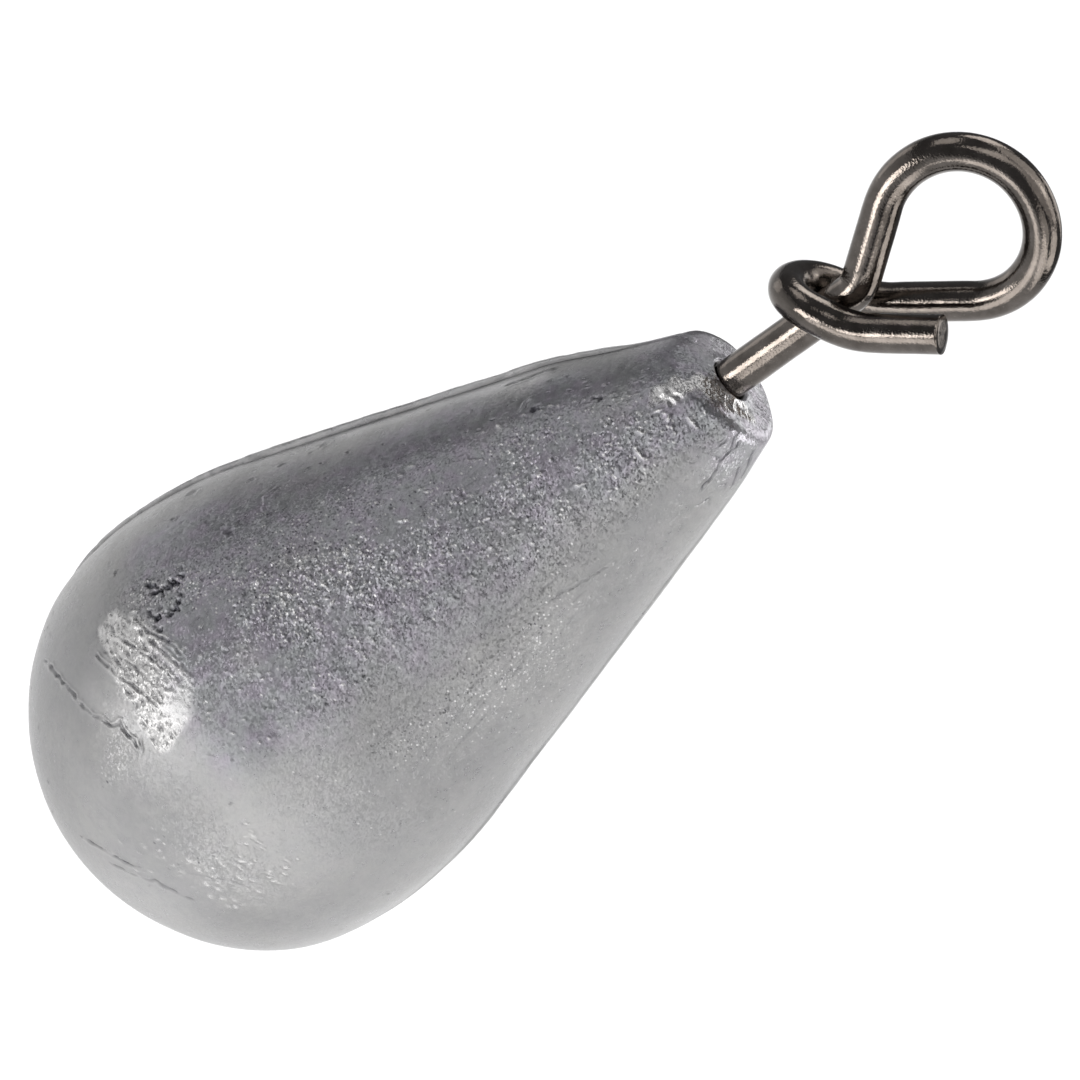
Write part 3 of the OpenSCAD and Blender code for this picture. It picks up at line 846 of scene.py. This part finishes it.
def lead_material():
    """Cast lead: grey, plum where it's crystalline, with tilted slivers and the marks that its mesh carries, among
    them its painted highlights and painted shade.
    """
    made, tree, skin = material("Cast lead")
    at = put(tree, "TexCoord").outputs["Object"]
    rough, grain, tone_and_painted_light, painted_highlight, dark = (put(tree, "Attribute", attribute_name=name).outputs["Fac"]
                                        for name in ("rough", "grain", "tone_and_painted_light", "painted_highlight", "dark"))
    cloud = put(tree, "TexNoise", {"Vector": at, "Scale": 420.0, "Detail": 4.0, "Roughness": 0.55}).outputs["Fac"]
    mottle = put(tree, "TexNoise", {"Vector": at, "Scale": 3000.0, "Detail": 6.0, "Roughness": 0.7}).outputs["Fac"]
    plain = blend(tree, ramp(tree, cloud, (0.35, 0.0), (0.68, 1.0)), (0.46, 0.455, 0.45), (0.42, 0.418, 0.42))
    plum = blend(tree, ramp(tree, mottle, (0.35, 0.0), (0.65, 1.0)), (0.405, 0.395, 0.435), (0.46, 0.455, 0.485))
    colour = blend(tree, ramp(tree, rough, (0.3, 0.0), (0.9, 1.0)), plain, plum)
    haze = put(tree, "TexNoise", {"Vector": at, "Scale": 1900.0, "Detail": 2.0, "Roughness": 0.6}).outputs["Fac"]
    hue = ramp(tree, haze, (0.36, (0.96, 1.0, 0.95)), (0.5, (1.0, 1.0, 1.0)), (0.64, (1.03, 0.96, 1.03)))
    colour = blend(tree, ramp(tree, rough, (0.25, 0.1), (0.9, 0.9)), colour, blend(tree, 1.0, colour, hue, "MULTIPLY"))
    colour = blend(tree, ramp(tree, mottle, (0.4, 0.35), (0.6, 0.0)), colour, (0.34, 0.34, 0.35))
    # the tone, with its painted light and shade, scales the colour
    shades = {channel: span(tree, tone_and_painted_light, -1, 3, 0.72, 1.84) for channel in range(3)}
    colour = blend(tree, 1.0, colour, put(tree, "CombineColor", shades).outputs[0], "MULTIPLY")

    # slivers of crystal, each tilted its own way; some are painted near-white as glints and some near-black as shade
    leaning = []
    for lean, stretch in ((127, 1.4), (80, 1.8)):
        place = {"Vector": at, "Rotation": (0.0, math.radians(lean), 0.0), "Scale": (1.0, 1.0, stretch)}
        leaning.append(put(tree, "Mapping", place, vector_type="TEXTURE").outputs["Vector"])
    facets = put(tree, "TexVoronoi", {"Vector": leaning[0], "Scale": 24000.0})
    slivers = put(tree, "TexVoronoi", {"Vector": leaning[1], "Scale": 17000.0})
    lot = put(tree, "SeparateColor", {0: slivers.outputs["Color"]})
    inside = ramp(tree, slivers.outputs["Distance"], (0.3, 1.0), (0.55, 0.0))
    crowd = put(tree, "Math", {0: grain, 1: grain}, operation="MULTIPLY").outputs[0]
    for channel, share, shade in (("Red", 0.25, (0.92, 0.91, 0.9)), ("Green", 0.16, (0.14, 0.135, 0.155))):
        chance = put(tree, "Math", {0: crowd, 1: share, 2: lot.outputs[channel]}, operation="MULTIPLY_ADD").outputs[0]
        strength = ramp(tree, span(tree, chance, 1.0, 1.04, 0.0, 1.0), (0.0, 0.0), (1.0, 0.9))
        colour = blend(tree, blend(tree, 1.0, strength, inside, "MULTIPLY"), colour, shade)
    # painted highlight: the flecks, crack lips, raised grains, wrinkled skin and the highlight spot turn near-white
    colour = blend(tree, ramp(tree, painted_highlight, (0.1, 0.0), (0.9, 0.9)), colour, (0.85, 0.84, 0.83))
    # painted shade: the cracks, pits, hollows, holes, fold troughs, scratches and the ridge's crease turn near-black
    colour = blend(tree, ramp(tree, dark, (0.0, 0.0), (1.0, 0.88)), colour, (0.08, 0.08, 0.095))
    tree.links.new(colour, skin.inputs["Base Color"])
    skin.inputs["Metallic"].default_value = 1.0
    shine = span(tree, mottle, 0.3, 0.7, 0.25, 0.38)
    final = put(tree, "Math", {0: shine, 1: span(tree, painted_highlight, 0, 1, 0.0, 0.1)}, operation="SUBTRACT").outputs[0]
    tree.links.new(final, skin.inputs["Roughness"])
    first = put(tree, "Bump", {"Height": mottle, "Strength": 0.4, "Distance": 0.00004})
    centred = put(tree, "VectorMath", {0: facets.outputs["Color"], 1: (0.5, 0.5, 0.5)}, operation="SUBTRACT")
    lean = span(tree, grain, 0, 1, 0.04, 0.6)
    tilt = put(tree, "VectorMath", {0: centred.outputs[0], "Scale": lean}, operation="SCALE")
    tilted = put(tree, "VectorMath", {0: first.outputs[0], 1: tilt.outputs[0]}, operation="ADD")
    even = put(tree, "VectorMath", {0: tilted.outputs[0]}, operation="NORMALIZE")
    tree.links.new(even.outputs[0], skin.inputs["Normal"])
    return made


def metal_material(name, dark, light, shine, mapped):
    """Metal with a base colour that varies a little, fine lines, along the wire where it's mapped, and specks."""
    made, tree, skin = material(name)
    if mapped:
        at = put(tree, "UVMap", uv_map="wire").outputs["UV"]
        stretched = put(tree, "Mapping", {"Vector": at, "Scale": (60.0, 1.2, 1.0)}).outputs["Vector"]
        mottled = put(tree, "Mapping", {"Vector": at, "Scale": (6.0, 6.0, 1.0)}).outputs["Vector"]
    else:
        at = put(tree, "TexCoord").outputs["Object"]
        stretched = put(tree, "Mapping", {"Vector": at, "Scale": (9000.0, 9000.0, 900.0)}).outputs["Vector"]
        mottled = put(tree, "Mapping", {"Vector": at, "Scale": (1500.0, 1500.0, 1500.0)}).outputs["Vector"]
    streak = put(tree, "TexNoise", {"Vector": stretched, "Scale": 1.0, "Detail": 3.0}).outputs["Fac"]
    cloud = put(tree, "TexNoise", {"Vector": mottled, "Scale": 1.0, "Detail": 4.0, "Roughness": 0.6}).outputs["Fac"]
    speck = put(tree, "TexNoise", {"Vector": mottled, "Scale": 9.0, "Detail": 2.0}).outputs["Fac"]
    colour = blend(tree, ramp(tree, cloud, (0.35, 0.0), (0.7, 1.0)), dark, light)
    colour = blend(tree, ramp(tree, speck, (0.66, 0.0), (0.74, 0.6)), colour, tuple(min(1, 1.8 * c) for c in light))
    tree.links.new(colour, skin.inputs["Base Color"])
    skin.inputs["Metallic"].default_value = 1.0
    tree.links.new(span(tree, cloud, 0.3, 0.7, shine[0], shine[1]), skin.inputs["Roughness"])
    first = put(tree, "Bump", {"Height": streak, "Strength": 0.15, "Distance": 0.00001})
    second = put(tree, "Bump", {"Height": speck, "Strength": 0.25, "Distance": 0.00002, "Normal": first.outputs[0]})
    tree.links.new(second.outputs[0], skin.inputs["Normal"])
    return made


# ---------------------------------------------------------------- the pieces
lead = build_lead()
lead.data.materials.append(lead_material())
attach(lead, "sinker")
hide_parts("lead_body")

wire = build_wire()
nickel = metal_material("Black nickel", (0.12, 0.107, 0.097), (0.20, 0.18, 0.165), (0.06, 0.14), True)
wire.data.materials.append(nickel)
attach(wire, "line_wire")
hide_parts("wire_eye")

brass = metal_material("Brass", (0.72, 0.52, 0.22), (0.8, 0.62, 0.3), (0.25, 0.35), False)
steel = metal_material("Drawn steel", (0.5, 0.49, 0.46), (0.6, 0.58, 0.54), (0.22, 0.34), False)
for node, finish in (("swivel_barrel", brass), ("anchor_eye", steel)):
    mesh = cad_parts[node].data
    mesh.materials.clear()
    mesh.materials.append(finish)

# ---------------------------------------------------------------- studio
FLOOR_Z = -0.2
FLOOR_SIZE = 4.0
BOX_DISTANCE = 0.3
SURROUNDINGS = (0.14, 0.14, 0.144, 1)


def only(thing):
    """A group of one piece, for the lights that reach it alone."""
    group = bpy.data.collections.new("Only " + thing.name)
    group.objects.link(thing)
    return group


def lamp(name, place, way_out, size, radiance, receivers, tint=(1, 1, 1)):
    """A soft box at a place, turned against the way out from the part, and the only pieces that it lights."""
    data = bpy.data.lights.new(name, "AREA")
    data.shape = "RECTANGLE"
    data.size, data.size_y = size
    data.energy = radiance * math.pi * size[0] * size[1]
    data.color = tint
    made = bpy.data.objects.new(name, data)
    bpy.context.scene.collection.objects.link(made)
    made.matrix_world = Matrix.Translation(place) @ way_out.to_track_quat("Z", "Y").to_matrix().to_4x4()
    made.visible_camera = False
    made.light_linking.receiver_collection = receivers


# Soft boxes round the part: their directions in the camera's axes (right, up, back), width, height and radiance.
LEAD_BOXES = [
    ((0.908, -0.419, -0.019), 0.15, 0.15, 2.94), ((-0.905, -0.302, 0.302), 0.12, 0.12, 1.88),
    ((0.745, 0.204, -0.635), 0.15, 0.15, 1.60), ((-0.852, -0.05, 0.521), 0.08, 0.08, 1.34),
    ((0.037, -0.426, 0.904), 0.15, 0.15, 0.82), ((0.679, -0.675, 0.288), 0.15, 0.15, 0.75),
    ((-0.701, -0.351, 0.621), 0.12, 0.12, 0.74), ((0.496, 0.866, 0.058), 0.15, 0.15, 0.64),
    ((0.340, -0.727, 0.596), 0.15, 0.15, 0.62), ((-0.324, -0.624, 0.712), 0.15, 0.15, 0.62),
    ((-0.118, -0.907, 0.404), 0.15, 0.15, 0.59), ((-0.554, -0.098, 0.827), 0.15, 0.15, 0.58),
    ((0.603, 0.664, -0.442), 0.15, 0.15, 0.56), ((0.681, -0.517, -0.519), 0.15, 0.15, 0.53),
    ((-0.516, 0.734, 0.442), 0.15, 0.15, 0.50), ((-0.247, 0.226, 0.942), 0.15, 0.15, 0.49),
    ((0.218, -0.971, 0.096), 0.15, 0.15, 0.46), ((0.537, -0.166, -0.827), 0.15, 0.15, 0.43),
    ((0.529, -0.822, -0.212), 0.15, 0.15, 0.38), ((-0.045, 0.967, 0.250), 0.15, 0.15, 0.24),
    ((-0.149, 0.817, -0.558), 0.15, 0.15, 0.23),
]
WIRE_BOXES = [
    ((-0.68, -0.15, 0.71), 0.13, 0.12, 7.2), ((-0.43, -0.70, 0.57), 0.18, 0.13, 2.4),
    ((0.30, -0.82, 0.45), 0.22, 0.12, 2.0), ((0.82, -0.53, 0.05), 0.18, 0.18, 2.2),
    ((0.42, -0.56, 0.72), 0.15, 0.15, 0.8), ((0.72, 0.60, 0.20), 0.28, 0.20, 1.1),
    ((0.28, 0.93, -0.20), 0.14, 0.14, 2.6), ((-0.26, 0.91, 0.32), 0.16, 0.10, 1.1),
    ((0.75, 0.20, -0.63), 0.15, 0.15, 1.4), ((0.21, 0.50, 0.84), 0.12, 0.20, 1.3),
    ((-0.72, 0.62, -0.32), 0.14, 0.16, 0.7), ((0.97, 0.10, 0.12), 0.14, 0.18, 1.6),
    ((0.80, 0.14, 0.58), 0.26, 0.26, 0.7),
]
for boxes, piece, tint in ((LEAD_BOXES, lead, (1, 1, 1)), (WIRE_BOXES, wire, (1.0, 0.96, 0.92))):
    receivers = only(piece)
    for n, (direction, width, height, radiance) in enumerate(boxes):
        way_out = (RIGHT * direction[0] + UP * direction[1] + BACK * direction[2]).normalized()
        place = AIM + way_out * BOX_DISTANCE
        lamp(f"{piece.name} box {n}", place, way_out, (width, height), radiance, receivers, tint)

floor_corners = np.array([[-1, -1, 0], [1, -1, 0], [1, 1, 0], [-1, 1, 0]]) * FLOOR_SIZE / 2 / MM
floor = new_mesh("Floor", floor_corners, [(0, 1, 2, 3)], False)
floor.location.z = FLOOR_Z
paper, paper_tree, paper_skin = material("Paper")
paper_at = put(paper_tree, "TexCoord").outputs["Object"]
fibre = put(paper_tree, "TexNoise", {"Vector": paper_at, "Scale": 900.0, "Detail": 3.0}).outputs["Fac"]
paper_tree.links.new(ramp(paper_tree, fibre, (0.3, 0.80), (0.7, 0.83)), paper_skin.inputs["Base Color"])
paper_skin.inputs["Roughness"].default_value = 0.9
floor.data.materials.append(paper)

# the paper has its own lights: a wide one overhead, and one that brings what the camera sees of it to a pure white
above = Vector((0.0, 0.0, 1.0))
lamp("Paper light", Vector((0.8, -0.1, 1.3)), above, (3.0, 3.0), 1.25, only(floor))
lamp("Backdrop light", Vector((0.1, 0.44, 0.25)), above, (0.3, 0.3), 6.0, only(floor))

world = bpy.data.worlds.new("Studio")
bpy.context.scene.world = world
world.use_nodes = True
world.node_tree.nodes["Background"].inputs["Color"].default_value = SURROUNDINGS
bpy.context.scene.view_settings.view_transform = "Standard"
